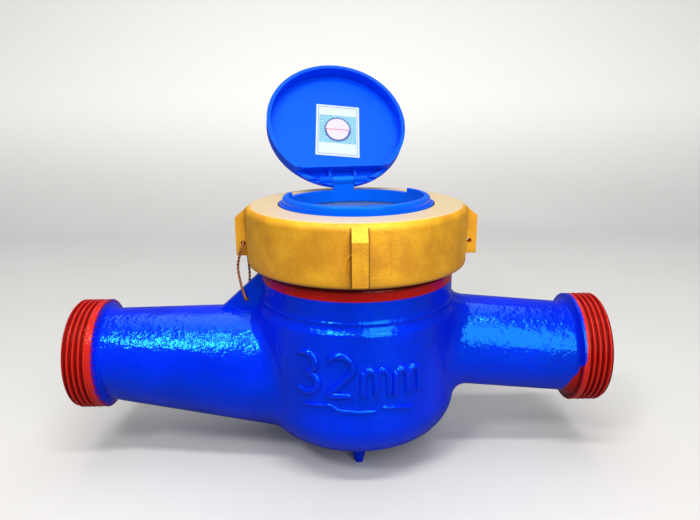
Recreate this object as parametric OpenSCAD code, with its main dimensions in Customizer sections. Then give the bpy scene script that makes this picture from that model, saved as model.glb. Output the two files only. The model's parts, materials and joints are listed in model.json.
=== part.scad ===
// Multi-jet water meter: cast body with two threaded ends, screwed brass ring, hinged lid.
// Frame: origin at the centre of the inlet's end face, X along the pipe, Z up, millimetres.

/* [Pipe ends] */
// Length from one end face to the other
overall_len = 230; // [220:1:245]
// Distance from the inlet's end face to the upright axis of the register
inlet_reach = 123; // [118:1:128]
// Outside diameter over the pipe threads
thread_d = 47.8; // [46:0.1:50]
// Length of each threaded end
thread_len = 12.5; // [10:0.5:15]
// Bore of both pipe ends
bore_d = 32; // [28:0.5:33]
// Outside diameter of both pipes behind the threads
pipe_d = 40; // [39:0.5:42]

/* [Body casting] */
// Outside diameter of the bowl
bowl_d = 86.8; // [85:0.2:92]
// Depth of the bowl's underside below the pipe axis
bowl_depth = 36.8; // [36:0.2:39]
// Radius where the bowl's side turns under
bowl_corner = 17; // [15:0.5:19]
// Outside diameter of the neck that takes the brass ring
neck_d = 82.4; // [81.6:0.2:84]
// Height of the rounded shoulder above the pipe axis
shoulder_h = 24.5; // [23.5:0.5:27]
// Wall of the bowl and the neck
wall = 4.4; // [3.8:0.1:5]
// Outside diameter of the inlet where it runs into the bowl
inlet_root_d = 55.5; // [52:0.5:56]
// Drop of the inlet's centre line on its way to the bowl
inlet_drop = 6.8; // [5:0.2:7.4]
// Rise of the outlet's centre line on its way to the bowl
outlet_rise = 5.5; // [3:0.5:6]
// Thickness of the slanted wall between inlet and outlet spaces
partition_t = 4; // [3:0.5:5]
// Height of each cast foot below the bowl
foot_h = 6.4; // [5:0.2:9]
// Diameter of a foot at its tip
foot_tip_d = 3.4; // [3:0.2:5]
// Distance of the feet from the register axis
foot_spread = 22; // [18:0.5:26]
// Thickness of the seal rib over the inlet
rib_t = 5; // [4:0.2:6]
// Diameter of the holes for the seal wire
seal_hole_d = 2.2; // [1.8:0.1:2.8]

/* [Measuring chamber] */
// Height of the chamber's seat above the pipe axis
seat_h = 14; // [13:0.5:15]
// Outside diameter of the chamber barrel
barrel_d = 54; // [52:0.5:55]
// Wall of the chamber barrel
barrel_wall = 2.5; // [2:0.1:3]
// Length of the barrel below the seat
barrel_below = 40; // [38:0.5:40.5]
// Length of the barrel above the seat
barrel_above = 16; // [15:0.5:18]
// Number of jets in each row
port_count = 8; // [6:1:10]
// Height of a jet
port_h = 8; // [6:0.5:8.5]
// Diameter of the impeller over its vanes
impeller_d = 45; // [40:0.5:46]
// Number of vanes
vane_count = 7; // [5:1:9]
// Diameter of the impeller's spindle
spindle_d = 3.2; // [2.8:0.1:3.6]

/* [Register] */
// Diameter of the register's two plates
plate_d = 68; // [66:0.5:70]
// Thickness of a plate
plate_t = 1.4; // [1:0.1:2]
// Clear height between the plates
movement_h = 13.6; // [13:0.2:16]
// Gear module
gear_m = 0.5; // [0.48:0.01:0.52]
// Diameter of an arbor
arbor_d = 1.2; // [1:0.1:1.3]
// Diameter of a number roller
roller_d = 11; // [10:0.5:12]
// Width of a number roller
roller_w = 5; // [4:0.2:5.2]
// Space between the dial and the glass seat
glass_gap = 3; // [2.6:0.2:5]

/* [Glass and brass ring] */
// Thickness of the sight glass
glass_t = 5.9; // [5:0.1:7]
// Wall of the brass ring round the neck
ring_wall = 5.1; // [4.4:0.1:6.4]
// Height of the brass ring
ring_h = 24.5; // [22:0.5:27]
// Thickness of the brass ring's top lip
lip_t = 2.5; // [2:0.1:3.5]
// Diameter of the mouth in the brass ring
mouth_d = 66.4; // [66:0.2:68]
// How far a lug stands out from the ring
lug_out = 4.8; // [4:0.1:6]
// Thickness of a lug
lug_t = 5.8; // [5:0.2:7]

/* [Cover ring and lid] */
// Diameter of the cover ring where it passes the brass ring's mouth
cover_d = 65; // [64.4:0.2:65.4]
// Opening of the cover ring over the glass
window_d = 57.2; // [55:0.2:58]
// Outside diameter of the lid
lid_d = 67.2; // [66.8:0.2:69]
// Height of the lid from rim to top
lid_h = 8; // [7.6:0.1:9]
// Wall of the lid
lid_wall = 1.8; // [1.4:0.1:2]
// Turn of the cover ring about the register axis
cover_turn = 10; // [-180:1:180]
// Angle at which the lid stands open
lid_open = 128; // [0:1:128]
// Distance of the lid hinge from the register axis
hinge_reach = 30.2; // [29.8:0.1:30.6]
// Diameter of the hinge pin
pin_d = 1.8; // [1.4:0.1:2]

/* [Hidden] */

$fn = 96;
// Clearances: running fit of a shaft, free gap between turning faces, overlap that joins shapes
run_gap = 0.05;
free_gap = 0.25;
join = 1;

// Pipe ends and body
thread_r = thread_d / 2;
bore_r = bore_d / 2;
pipe_r = pipe_d / 2;
thread_chamfer = 1;
flare = thread_r - pipe_r + 0.8;
bowl_r = bowl_d / 2;
neck_r = neck_d / 2;
cavity_r = neck_r - wall;
shoulder_r = bowl_r - neck_r;
// The bowl's corner hands over to a wider sweep at this angle, which runs in short steps
hand_over = 60;
sweep_step = 6;
corner_x = bowl_r - bowl_corner;
corner_z = -16;
hand_z = corner_z - bowl_corner * sin(hand_over);
sweep_r = (bowl_depth + hand_z) / (1 - sin(hand_over));
sweep_x = corner_x + (bowl_corner - sweep_r) * cos(hand_over);
sweep_z = hand_z + sweep_r * sin(hand_over);
// Where the inlet's round nose and the outlet's end lie inside the bowl, from the register axis
inlet_root_in = 30;
outlet_root_in = 35;
outlet_end_in = 25;
inlet_root_x = inlet_reach - inlet_root_in;
outlet_root_x = inlet_reach + outlet_root_in;
outlet_end_x = inlet_reach + outlet_end_in;
// The inlet throat dips under the partition; both bores end just inside the cavity
throat_r = 20;
throat_drop = 11.5;
throat_end_in = 34;
outlet_mouth_in = 32.5;
throat_end_x = inlet_reach - throat_end_in;
outlet_mouth_x = inlet_reach + outlet_mouth_in;
bore_straight = thread_len + 3.5;
bore_step = 0.3;
inlet_line = [[thread_len, 0], [inlet_root_x, -inlet_drop]];
outlet_line = [[overall_len - thread_len, 0], [outlet_root_x, outlet_rise]];
throat_line = [[thread_len, 0], [throat_end_x, -throat_drop]];
partition_tilt = 22;
foot_root_d = 9.2;
foot_z = -bowl_depth - foot_h;
rib_reach = 60.5;
rib_top = 37.6;
big = 200;

// Measuring chamber, from the seat up
gasket_t = 1;
flange_t = 3;
barrel_r = barrel_d / 2;
barrel_in_r = barrel_r - barrel_wall;
seat_bore_r = barrel_r + 0.5;
seat_post_r = 32;
seat_low = -12;
flange_r = 33;
flange_z = seat_h + gasket_t;
barrel_low = seat_h - barrel_below;
barrel_top = seat_h + barrel_above;
barrel_floor_t = 2.5;
port_w = 3.4;
basket_r = 30.5;
basket_wall = 1;
basket_low = barrel_low - basket_wall;
basket_slots = 24;
cover_t = 3;
cover_boss_h = 2;
cover_boss_r = 6;
cover_plate_r = 32;
cover_z = barrel_top;
spigot_h = 1.5;
bush_r = spindle_d / 2 + 1;
pivot_r = 1.2;
pivot_h = 8.8;
pivot_top = barrel_low + pivot_h;
hub_r = 4;
hub_low = barrel_low + 5;
hub_top = seat_h - 2;
vane_t = 1.2;
screw_reach = 29;
screw_r = 1.2;
screw_head_r = 2.1;
screw_head_h = 1.6;
screw_bottom = 1.5;
screw_angles = [40, 140, 270];

// Register, from the chamber cover up
base_z = cover_z + cover_t + cover_boss_h;
base_top = base_z + plate_t;
bridge_z = base_top + movement_h;
dial_z = bridge_z + plate_t;
dial_t = 0.6;
dial_top = dial_z + dial_t;
dial_r = plate_d / 2 + 1.6;
pillar_r = 2;
pillar_reach = plate_d / 2 - 3;
pillar_angles = [30, 150, 246, 294];
arbor_r = arbor_d / 2;
arbor_foot_z = base_z + 0.2;
hand_z0 = dial_top + 0.5;
hand_t = 0.8;
arbor_tip_z = hand_z0 + hand_t + 0.4;

// Each decade of the train is an idler (30 and 9 teeth) and a pointer arbor (27 and 9 teeth)
pinion_n = 9;
idler_n = 30;
pointer_n = 27;
level_pitch = 2.2;
wheel_t = 1;
pinion_t = 1.8;
idler_mesh = gear_m * (pinion_n + idler_n) / 2;
pointer_mesh = gear_m * (pinion_n + pointer_n) / 2;
pointer_ring_r = 35 * gear_m;
pointer_angles = [-15, -65, -115, -165];
pointer_at = [for (a = pointer_angles) pointer_ring_r * [cos(a), sin(a)]];
drive_at = concat([[0, 0]], pointer_at);
idler_at = [for (k = [0:3]) third_corner(drive_at[k], pointer_at[k], idler_mesh, pointer_mesh)];

// Rollers and their carry pinions
roller_r = roller_d / 2;
roller_pitch = roller_w + 0.4;
roller_count = 5;
roller_y = 13.5;
roller_z = dial_z - roller_r + 0.3;
roller_shaft_r = 1.2;
bracket_t = 1.2;
bracket_in = roller_pitch * roller_count / 2 + 0.7;
carry_n = 8;
carry_m = 0.45;
carry_tip_r = carry_m * (carry_n / 2 + 0.9);
carry_y = roller_y + roller_r + carry_tip_r + 0.3;
bracket_front = 4.9;
bracket_back = 2.5;
bracket_y = [roller_y - bracket_front, carry_y + bracket_back];
carry_shaft_r = 0.8;
window_half = [bracket_in, 2.6];
bridge_window_half = [bracket_in, sqrt(roller_r * roller_r - pow(bridge_z - roller_z, 2)) + 0.4];

// Glass, clamp ring and brass ring, from the neck up
neck_top = dial_top + glass_gap;
glass_gasket_t = 1.5;
glass_r = neck_r - 1;
glass_z = neck_top + glass_gasket_t;
glass_top = glass_z + glass_t;
clamp_t = 2.1;
lip_z = glass_top + clamp_t;
ring_top = lip_z + lip_t;
ring_low = ring_top - ring_h;
ring_bore_r = neck_r + 0.3;
ring_r = ring_bore_r + ring_wall;
ring_edge_r = 3;
ring_foot_r = 1.5;
mouth_r = mouth_d / 2;
lug_r = ring_r + lug_out;
lug_low = ring_low + 2.4;
lug_shoulder_z = ring_top - 5.7;
lug_top_z = ring_top - 0.8;
lug_hole_in = 3.1;
lug_hole_reach = lug_r - lug_hole_in;
lug_hole_z = lug_low + 5.5;
rib_hole_drop = 25.2;
rib_hole_z = lug_hole_z - rib_hole_drop;

// Cover ring and lid, in the closed pose with the hinge at the back
cover_r = cover_d / 2;
window_r = window_d / 2;
cover_flange_r = mouth_r + 1.6;
clamp_in_r = cover_flange_r + 0.4;
cover_low = glass_top + free_gap;
cover_flange_t = clamp_t - 2 * free_gap;
brim_z = ring_top + 0.4;
wall_out_r = lid_d / 2 - lid_wall - 0.6;
wall_edge_r = 1.3;
wall_top_z = brim_z + 2.9;
back_top_z = brim_z + 0.7;
back_half_angle = 64.5;
hinge_z = ring_top + 5.6;
barrel_half = 4.85;
knuckle_r = 1.9;
knuckle_gap = 0.25;
knuckle_end = 11.3;
tongue_t = 2.4;
pin_r = pin_d / 2;
lid_r = lid_d / 2;
lid_low = brim_z + 0.6;
lid_top = lid_low + lid_h;
lid_floor_z = lid_top - lid_wall;
lid_edge_r = 2.2;
chord_y = hinge_reach - 5;
chord_wall_t = 1.5;
chord_wall_z = lid_low + 0.8;
lid_trim_z = hinge_z - 0.6;
notch_y = hinge_reach - 2.6;
lid_rib_x = [5.3, 6.6];

// Seal wire: points of its closed loop about the register axis, chosen by hand
wire_r = 0.45;
wire_sides = 8;
wire_steps = 4;
// Seal wire from the lug's hole to the rib's and back; heights are shares of the drop between them
wire_side = 4.2;
wire_out = 3.6;
wire_bow = 2.6;
function wire_at(x, y, share) = [x - lug_hole_reach, y, lug_hole_z - share * rib_hole_drop];
wire_points = [
    wire_at(0, wire_out, 0),
    wire_at(0, 0, 0),
    wire_at(0, -wire_out, 0),
    wire_at(-wire_bow / 2, -wire_side, 0.16),
    wire_at(-wire_bow, -wire_side, 0.4),
    wire_at(-0.73 * wire_bow, -wire_side, 0.675),
    wire_at(-0.35 * wire_bow, -wire_side, 0.865),
    wire_at(0, -wire_out, 0.996),
    wire_at(0, 0, 1),
    wire_at(0, wire_out, 0.996),
    wire_at(0.15 * wire_bow, wire_side, 0.865),
    wire_at(0.35 * wire_bow, wire_side, 0.635),
    wire_at(0.27 * wire_bow, wire_side, 0.355),
    wire_at(0.08 * wire_bow, wire_side, 0.14)
];

body_blue = [0.05, 0.2, 0.75];
cover_blue = [0.1, 0.4, 0.95];
brass = [0.8, 0.6, 0.25];
steel = [0.75, 0.76, 0.78];
black_resin = [0.12, 0.12, 0.13];
white_resin = [0.93, 0.93, 0.9];
rubber = [0.08, 0.08, 0.08];
hand_red = [0.85, 0.1, 0.1];
glass_tint = [0.75, 0.92, 0.9, 0.35];
copper = [0.72, 0.38, 0.2];

// Point at distance ra from a and rb from b, on the outer side of the line from a to b
function third_corner(a, b, ra, rb) =
    let (
        v = b - a,
        length = norm(v),
        along = (length * length + ra * ra - rb * rb) / (2 * length),
        off = sqrt(ra * ra - along * along),
        u = v / length,
        left = a + along * u + off * [-u[1], u[0]],
        right = a + along * u - off * [-u[1], u[0]]
    )
    norm(left) > norm(right) + 0.01 ? left : norm(right) > norm(left) + 0.01 ? right : left;

function heading(a, b) = atan2(b[1] - a[1], b[0] - a[0]);

// Outline of a gear with n teeth: root, pitch and tip points of every tooth
function gear_points(n, m, root_share) =
    [for (i = [0:n - 1])
        for (p = [[-1.15, -root_share], [0, -0.8], [0.9, -0.35], [0.9, 0.35], [0, 0.8], [-1.15, root_share]])
            let (r = m * (n / 2 + p[0]), a = 360 * i / n + p[1] * 90 / n) r * [cos(a), sin(a)]];

// Closed curve through the points p, and the ring of points round one of its stations
function curve_at(p, i, t) =
    let (n = len(p), a = p[(i + n - 1) % n], b = p[i], c = p[(i + 1) % n], d = p[(i + 2) % n])
    0.5 * (2 * b + (c - a) * t + (2 * a - 5 * b + 4 * c - d) * t * t + (3 * b - a - 3 * c + d) * t * t * t);
function unit(v) = v / norm(v);
function ring_round(at, way, r, sides) =
    let (u = unit(cross(way, [1, 0.35, 0])), v = unit(cross(way, u)))
    [for (s = [0:sides - 1]) at + r * (u * cos(360 * s / sides) + v * sin(360 * s / sides))];

module at_register() {
    translate([inlet_reach, 0, 0]) children();
}

// Tapered round bar from point a to point b in the XZ plane
module bar(a, b, ra, rb) {
    d = b - a;
    translate([a[0], 0, a[1]])
        rotate([0, 90 - atan2(d[1], d[0]), 0])
            cylinder(h = norm(d), r1 = ra, r2 = rb);
}

// Tapered round bar from a to b that ends in a ball of radius rb about b
module nosed_bar(a, b, ra, rb) {
    d = b - a;
    c = norm(d);
    lean = asin(rb / norm([ra, c])) - atan2(ra, c);
    translate([a[0], 0, a[1]])
        rotate([0, 90 - atan2(d[1], d[0]), 0])
            rotate_extrude() {
                polygon([[0, 0], [ra, 0], [rb * cos(lean), c - rb * sin(lean)], [0, c]]);
                intersection() {
                    translate([0, c]) circle(rb);
                    band(rb + join, c - rb * sin(lean), c + rb + join);
                }
            }
}

// Point on the line from a to b where x has the given value
function on_line(a, b, x) = a + (b - a) * (x - a[0]) / (b[0] - a[0]);

module tube(z, h, r_out, r_in) {
    translate([0, 0, z])
        difference() {
            cylinder(h = h, r = r_out);
            translate([0, 0, -join]) cylinder(h = h + 2 * join, r = r_in);
        }
}

// Rectangle from r = 0 to r, between two heights, for turned profiles
module band(r, z0, z1) {
    translate([0, z0]) square([r, z1 - z0]);
}

// Half section of the bowl, set in by skin
module bowl_profile(skin) {
    band(bowl_r - skin, corner_z, shoulder_h - shoulder_r);
    translate([corner_x, corner_z]) circle(bowl_corner - skin);
    polygon(concat(
        [[0, corner_z], [0, skin - bowl_depth]],
        [for (a = [90:-sweep_step:hand_over])
            [sweep_x, sweep_z] + (sweep_r - skin) * [cos(a), -sin(a)]],
        [[corner_x, corner_z]]
    ));
}

module body_profile() {
    bowl_profile(0);
    translate([neck_r, shoulder_h - shoulder_r]) circle(shoulder_r);
    band(neck_r, corner_z, neck_top);
}

// Threaded end standing along +X from its end face, with the concave flare behind it
module pipe_end() {
    rotate([0, 90, 0]) {
        cylinder(h = thread_chamfer, r1 = thread_r - thread_chamfer, r2 = thread_r);
        translate([0, 0, thread_chamfer]) cylinder(h = thread_len - thread_chamfer, r = thread_r);
        translate([0, 0, thread_len])
            rotate_extrude()
                difference() {
                    band(thread_r, 0, flare);
                    translate([thread_r, flare]) circle(flare);
                }
    }
}

module seal_rib() {
    rotate([90, 0, 0])
        linear_extrude(height = rib_t, center = true)
            polygon([
                [-rib_reach, pipe_r], [-neck_r, rib_top], [join - neck_r, rib_top],
                [join - neck_r, pipe_r / 2], [-rib_reach, pipe_r / 2]
            ]);
}

module feet() {
    for (a = [-90, 30, 150])
        rotate([0, 0, a])
            translate([foot_spread, 0, foot_z])
                cylinder(h = foot_h + wall, r1 = foot_tip_d / 2, r2 = foot_root_d / 2);
}

module body_outside() {
    pipe_end();
    translate([overall_len, 0, 0]) mirror([1, 0, 0]) pipe_end();
    nosed_bar(inlet_line[0], inlet_line[1], pipe_r, inlet_root_d / 2);
    bar(outlet_line[0], on_line(outlet_line[0], outlet_line[1], outlet_end_x), pipe_r, pipe_r);
    at_register() {
        rotate_extrude() body_profile();
        seal_rib();
        feet();
    }
}

// Everything above or below the slanted partition between the two spaces
module above_partition(offset_z) {
    rotate([0, partition_tilt, 0]) translate([-big / 2, -big / 2, offset_z]) cube(big);
}
module below_partition(offset_z) {
    rotate([0, partition_tilt, 0]) translate([-big / 2, -big / 2, offset_z - big]) cube(big);
}

module body_inside() {
    at_register() {
        difference() {
            translate([0, 0, -bowl_depth]) cylinder(h = bowl_depth + neck_top + join, r = cavity_r);
            below_partition(partition_t / 2);
            translate([0, 0, seat_h - big]) cylinder(h = big, r = seat_post_r);
        }
        difference() {
            rotate_extrude() bowl_profile(wall);
            above_partition(-partition_t / 2);
            translate([0, 0, seat_low]) cylinder(h = big, r = seat_post_r);
        }
        translate([0, 0, seat_low - join]) cylinder(h = seat_h - seat_low + 2 * join, r = seat_bore_r);
        // Flat seat for the chamber's flange, and room under it for the basket
        translate([0, 0, seat_h]) cylinder(h = gasket_t + flange_t, r = flange_r + free_gap);
        translate([0, 0, basket_low - free_gap])
            cylinder(h = seat_low - basket_low + free_gap, r = basket_r + free_gap);
    }
    bar([-join, 0], [bore_straight, 0], bore_r, bore_r);
    bar(throat_line[0], throat_line[1], bore_r - bore_step, throat_r);
    bar([overall_len + join, 0], [overall_len - bore_straight, 0], bore_r, bore_r);
    bar(outlet_line[0], on_line(outlet_line[0], outlet_line[1], outlet_mouth_x), bore_r - bore_step,
        bore_r - bore_step);
}

module body_casting() {
    color(body_blue)
        difference() {
            body_outside();
            body_inside();
            at_register()
                translate([-lug_hole_reach, 0, rib_hole_z])
                    rotate([90, 0, 0]) cylinder(h = 2 * rib_t, r = seal_hole_d / 2, center = true);
        }
}

module strainer_basket() {
    color(black_resin)
        at_register()
            difference() {
                translate([0, 0, basket_low]) cylinder(h = seat_low - basket_low, r = basket_r);
                translate([0, 0, barrel_low]) cylinder(h = big, r = basket_r - basket_wall);
                for (i = [0:basket_slots - 1])
                    rotate([0, 0, 360 * i / basket_slots])
                        translate([basket_r - 2 * basket_wall, -join, barrel_low + 2])
                            cube([3 * basket_wall, 2 * join, seat_low - barrel_low - 4]);
            }
}

module chamber_gasket() {
    color(rubber) at_register() tube(seat_h, gasket_t, seat_post_r, seat_bore_r + 0.3);
}

// One row of jets, cut along lines that miss the axis, so that the water turns the vanes
module jets(z, hand) {
    for (i = [0:port_count - 1])
        rotate([0, 0, 360 * i / port_count])
            translate([0.75 * barrel_in_r, hand > 0 ? 0 : -big, z])
                cube([port_w, big, port_h]);
}

module chamber_cup() {
    color(white_resin)
        at_register()
            difference() {
                union() {
                    translate([0, 0, barrel_low]) cylinder(h = barrel_below + barrel_above, r = barrel_r);
                    translate([0, 0, flange_z]) cylinder(h = flange_t, r = flange_r);
                }
                translate([0, 0, barrel_low + barrel_floor_t]) cylinder(h = big, r = barrel_in_r);
                translate([0, 0, barrel_low - join]) cylinder(h = 2 * barrel_floor_t, r = pivot_r);
                jets(barrel_low + barrel_floor_t + 0.5, 1);
                jets(flange_z + flange_t + 1, -1);
            }
}

module cover_screw_places() {
    for (a = screw_angles) rotate([0, 0, a]) translate([screw_reach, 0, 0]) children();
}

module chamber_cover() {
    color(white_resin)
        at_register()
            difference() {
                union() {
                    translate([0, 0, cover_z - spigot_h])
                        cylinder(h = spigot_h + join, r = barrel_in_r - 0.2);
                    translate([0, 0, cover_z]) cylinder(h = cover_t, r = cover_plate_r);
                    translate([0, 0, cover_z + join])
                        cylinder(h = cover_t + cover_boss_h - join, r = cover_boss_r);
                    cover_screw_places()
                        translate([0, 0, cover_z + join])
                            cylinder(h = cover_t + cover_boss_h - join, r = screw_head_r);
                }
                translate([0, 0, cover_z - big / 2]) cylinder(h = big, r = bush_r);
                cover_screw_places()
                    translate([0, 0, cover_z + screw_bottom]) cylinder(h = big, r = screw_r);
            }
}

module pivot_pin() {
    color(brass)
        at_register() translate([0, 0, barrel_low]) cylinder(h = pivot_top - barrel_low, r = pivot_r);
}

module spindle_bush() {
    color(brass)
        at_register()
            tube(cover_z - spigot_h, spigot_h + cover_t + cover_boss_h, bush_r, spindle_d / 2 + run_gap);
}

// Gear blank with teeth, its first tooth pointing along the given angle
module toothed(n, m, t, angle, root_share) {
    rotate([0, 0, angle]) linear_extrude(height = t) polygon(gear_points(n, m, root_share));
}
module wheel(n, angle) {
    toothed(n, gear_m, wheel_t, angle, 1.08);
}
module pinion(angle) {
    toothed(pinion_n, gear_m, pinion_t, angle, 0.82);
}
function level_z(k) = base_top + 0.6 + level_pitch * (k % 3);

module impeller() {
    color(white_resin)
        at_register()
            difference() {
                union() {
                    translate([0, 0, hub_low]) cylinder(h = hub_top - hub_low, r = hub_r);
                    for (i = [0:vane_count - 1])
                        rotate([0, 0, 360 * i / vane_count])
                            translate([hub_r - join, -vane_t / 2, hub_low + 1])
                                cube([impeller_d / 2 - hub_r + join, vane_t, hub_top - hub_low - 3]);
                    translate([0, 0, hub_top - join])
                        cylinder(h = level_z(0) + pinion_t - hub_top + join, r = spindle_d / 2);
                    translate([0, 0, level_z(0)]) pinion(heading([0, 0], idler_at[0]));
                }
                translate([0, 0, hub_low - join])
                    cylinder(h = pivot_top + 0.2 - hub_low + join, r = pivot_r + run_gap);
            }
}

module arbor_holes(r, z, h, places) {
    for (p = places) translate([p[0], p[1], z - join]) cylinder(h = h + 2 * join, r = r);
}

module register_base() {
    color(brass)
        at_register()
            difference() {
                translate([0, 0, base_z]) cylinder(h = plate_t, r = plate_d / 2);
                arbor_holes(bush_r + 0.6, base_z, plate_t, [[0, 0]]);
                arbor_holes(arbor_r + run_gap, base_z, plate_t, concat(idler_at, pointer_at));
                cover_screw_places() translate([0, 0, base_z - join]) cylinder(h = big, r = screw_r);
            }
}

module register_screws() {
    color(steel)
        at_register()
            cover_screw_places() {
                translate([0, 0, cover_z + screw_bottom])
                    cylinder(h = base_top - cover_z - screw_bottom, r = screw_r);
                translate([0, 0, base_top]) cylinder(h = screw_head_h, r = screw_head_r);
            }
}

module register_pillars() {
    color(steel)
        at_register()
            for (a = pillar_angles)
                rotate([0, 0, a])
                    translate([pillar_reach, 0, base_top]) cylinder(h = movement_h, r = pillar_r);
}

module roller_window(half, z, h) {
    translate([-half[0], roller_y - half[1], z - join]) cube([2 * half[0], 2 * half[1], h + 2 * join]);
}

module register_bridge() {
    color(brass)
        at_register()
            difference() {
                translate([0, 0, bridge_z]) cylinder(h = plate_t, r = plate_d / 2);
                arbor_holes(arbor_r + run_gap, bridge_z, plate_t, concat(idler_at, pointer_at));
                roller_window(bridge_window_half, bridge_z, plate_t);
            }
}

module dial_plate() {
    color(white_resin)
        at_register()
            difference() {
                translate([0, 0, dial_z]) cylinder(h = dial_t, r = dial_r);
                arbor_holes(arbor_r + 0.3, dial_z, dial_t, concat([idler_at[0]], pointer_at));
                roller_window(window_half, dial_z, dial_t);
            }
}

// Idler k takes its turn from drive_at[k] and hands it to pointer arbor k
module idler(k) {
    top_z = k == 0 ? arbor_tip_z : dial_z - 0.1;
    color(white_resin)
        at_register()
            translate(concat(idler_at[k], 0)) {
                translate([0, 0, arbor_foot_z]) cylinder(h = top_z - arbor_foot_z, r = arbor_r);
                translate([0, 0, level_z(2 * k) + (pinion_t - wheel_t) / 2])
                    wheel(idler_n, heading(idler_at[k], drive_at[k]) + 180 / idler_n);
                translate([0, 0, level_z(2 * k + 1)]) pinion(heading(idler_at[k], pointer_at[k]));
            }
}

module pointer_arbor(k) {
    color(white_resin)
        at_register()
            translate(concat(pointer_at[k], 0)) {
                translate([0, 0, arbor_foot_z]) cylinder(h = arbor_tip_z - arbor_foot_z, r = arbor_r);
                translate([0, 0, level_z(2 * k + 1) + (pinion_t - wheel_t) / 2])
                    wheel(pointer_n, heading(pointer_at[k], idler_at[k]) + 180 / pointer_n);
                if (k < 3)
                    translate([0, 0, level_z(2 * k + 2)]) pinion(heading(pointer_at[k], idler_at[k + 1]));
            }
}

module flow_star() {
    points = 6;
    tip_r = 3.8;
    valley_r = 2.1;
    color(hand_red)
        at_register()
            translate(concat(idler_at[0], hand_z0))
                difference() {
                    linear_extrude(height = hand_t)
                        polygon([for (i = [0:2 * points - 1])
                            let (a = 180 * i / points)
                            (i % 2 == 0 ? tip_r : valley_r) * [cos(a), sin(a)]]);
                    translate([0, 0, -join]) cylinder(h = hand_t + 2 * join, r = arbor_r);
                }
}

module pointer(k) {
    hub = 1.5;
    tip = 5;
    tail = 2.6;
    angles = [70, 110, 40, 150];
    color(hand_red)
        at_register()
            translate(concat(pointer_at[k], hand_z0))
                difference() {
                    union() {
                        cylinder(h = hand_t, r = hub);
                        rotate([0, 0, angles[k]])
                            linear_extrude(height = hand_t)
                                polygon([[-tail, -0.5], [0, -0.8], [tip, 0], [0, 0.8], [-tail, 0.5]]);
                    }
                    translate([0, 0, -join]) cylinder(h = hand_t + 2 * join, r = arbor_r);
                }
}

module across(y, z, x0, length, r) {
    translate([x0, y, z]) rotate([0, 90, 0]) cylinder(h = length, r = r);
}

module roller_brackets() {
    color(brass)
        at_register()
            for (side = [-1, 1])
                difference() {
                    translate([side > 0 ? bracket_in : -bracket_in - bracket_t, bracket_y[0], base_top])
                        cube([bracket_t, bracket_y[1] - bracket_y[0], movement_h]);
                    across(roller_y, roller_z, -big / 2, big, roller_shaft_r);
                    across(carry_y, roller_z, -big / 2, big, carry_shaft_r);
                }
}

module roller_shaft() {
    color(steel)
        at_register()
            across(roller_y, roller_z, -bracket_in - bracket_t, 2 * (bracket_in + bracket_t), roller_shaft_r);
}

function roller_x(k) = roller_pitch * (roller_count / 2 - k);

// Roller k, counted from the fastest at the right
module number_roller(k) {
    color(white_resin)
        at_register()
            difference() {
                across(roller_y, roller_z, roller_x(k) + (roller_pitch - roller_w) / 2, roller_w, roller_r);
                across(roller_y, roller_z, -big / 2, big, roller_shaft_r + run_gap);
            }
}

module carry_shaft() {
    color(steel)
        at_register()
            across(carry_y, roller_z, -bracket_in - bracket_t, 2 * (bracket_in + bracket_t), carry_shaft_r);
}

module carry_pinions() {
    pinion_w = roller_w / 2;
    color(white_resin)
        at_register()
            for (k = [1:roller_count - 1])
                translate([roller_x(k) - pinion_w / 2, carry_y, roller_z])
                    rotate([0, 90, 0])
                        difference() {
                            toothed(carry_n, carry_m, pinion_w, 0, 1);
                            translate([0, 0, -join]) cylinder(h = pinion_w + 2 * join, r = carry_shaft_r);
                        }
}

module glass_gasket() {
    color(rubber) at_register() tube(neck_top, glass_gasket_t, glass_r, cavity_r + 0.4);
}

module sight_glass() {
    color(glass_tint) at_register() translate([0, 0, glass_z]) cylinder(h = glass_t, r = glass_r);
}

module clamp_ring() {
    color(brass) at_register() tube(glass_top, clamp_t, glass_r + 0.4, clamp_in_r);
}

module ring_profile() {
    difference() {
        union() {
            band(ring_r, ring_low + ring_foot_r, ring_top - ring_edge_r);
            band(ring_r - ring_edge_r, ring_low, ring_top);
            translate([ring_r - ring_edge_r, ring_top - ring_edge_r]) circle(ring_edge_r);
            band(ring_r - ring_foot_r, ring_low, ring_top - ring_edge_r);
            translate([ring_r - ring_foot_r, ring_low + ring_foot_r]) circle(ring_foot_r);
        }
        band(ring_bore_r, ring_low - join, lip_z);
        band(mouth_r, ring_low - join, ring_top + join);
    }
}

module lug() {
    rotate([90, 0, 0])
        linear_extrude(height = lug_t, center = true)
            polygon([
                [ring_bore_r + join, lug_low], [lug_r, lug_low], [lug_r, lug_shoulder_z],
                [ring_r - join, lug_top_z], [ring_bore_r + join, lug_top_z]
            ]);
}

module brass_ring() {
    color(brass)
        at_register()
            difference() {
                union() {
                    rotate_extrude() ring_profile();
                    for (a = [0:90:270]) rotate([0, 0, a]) lug();
                }
                for (side = [-1, 1])
                    translate([side * lug_hole_reach, 0, lug_hole_z])
                        rotate([90, 0, 0]) cylinder(h = 2 * lug_t, r = seal_hole_d / 2, center = true);
            }
}

module seal_wire() {
    n = len(wire_points);
    total = n * wire_steps;
    stations = [for (i = [0:n - 1]) for (s = [0:wire_steps - 1]) curve_at(wire_points, i, s / wire_steps)];
    rings = [for (i = [0:total - 1])
        let (ahead = stations[(i + 1) % total], behind = stations[(i + total - 1) % total])
        ring_round(stations[i], ahead - behind, wire_r, wire_sides)];
    color(copper)
        at_register()
            polyhedron(
                points = [for (r = rings) for (p = r) p],
                faces = [for (i = [0:total - 1]) for (s = [0:wire_sides - 1])
                    let (t = (s + 1) % wire_sides, j = (i + 1) % total)
                    [i * wire_sides + s, j * wire_sides + s, j * wire_sides + t, i * wire_sides + t]]
            );
}

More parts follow.
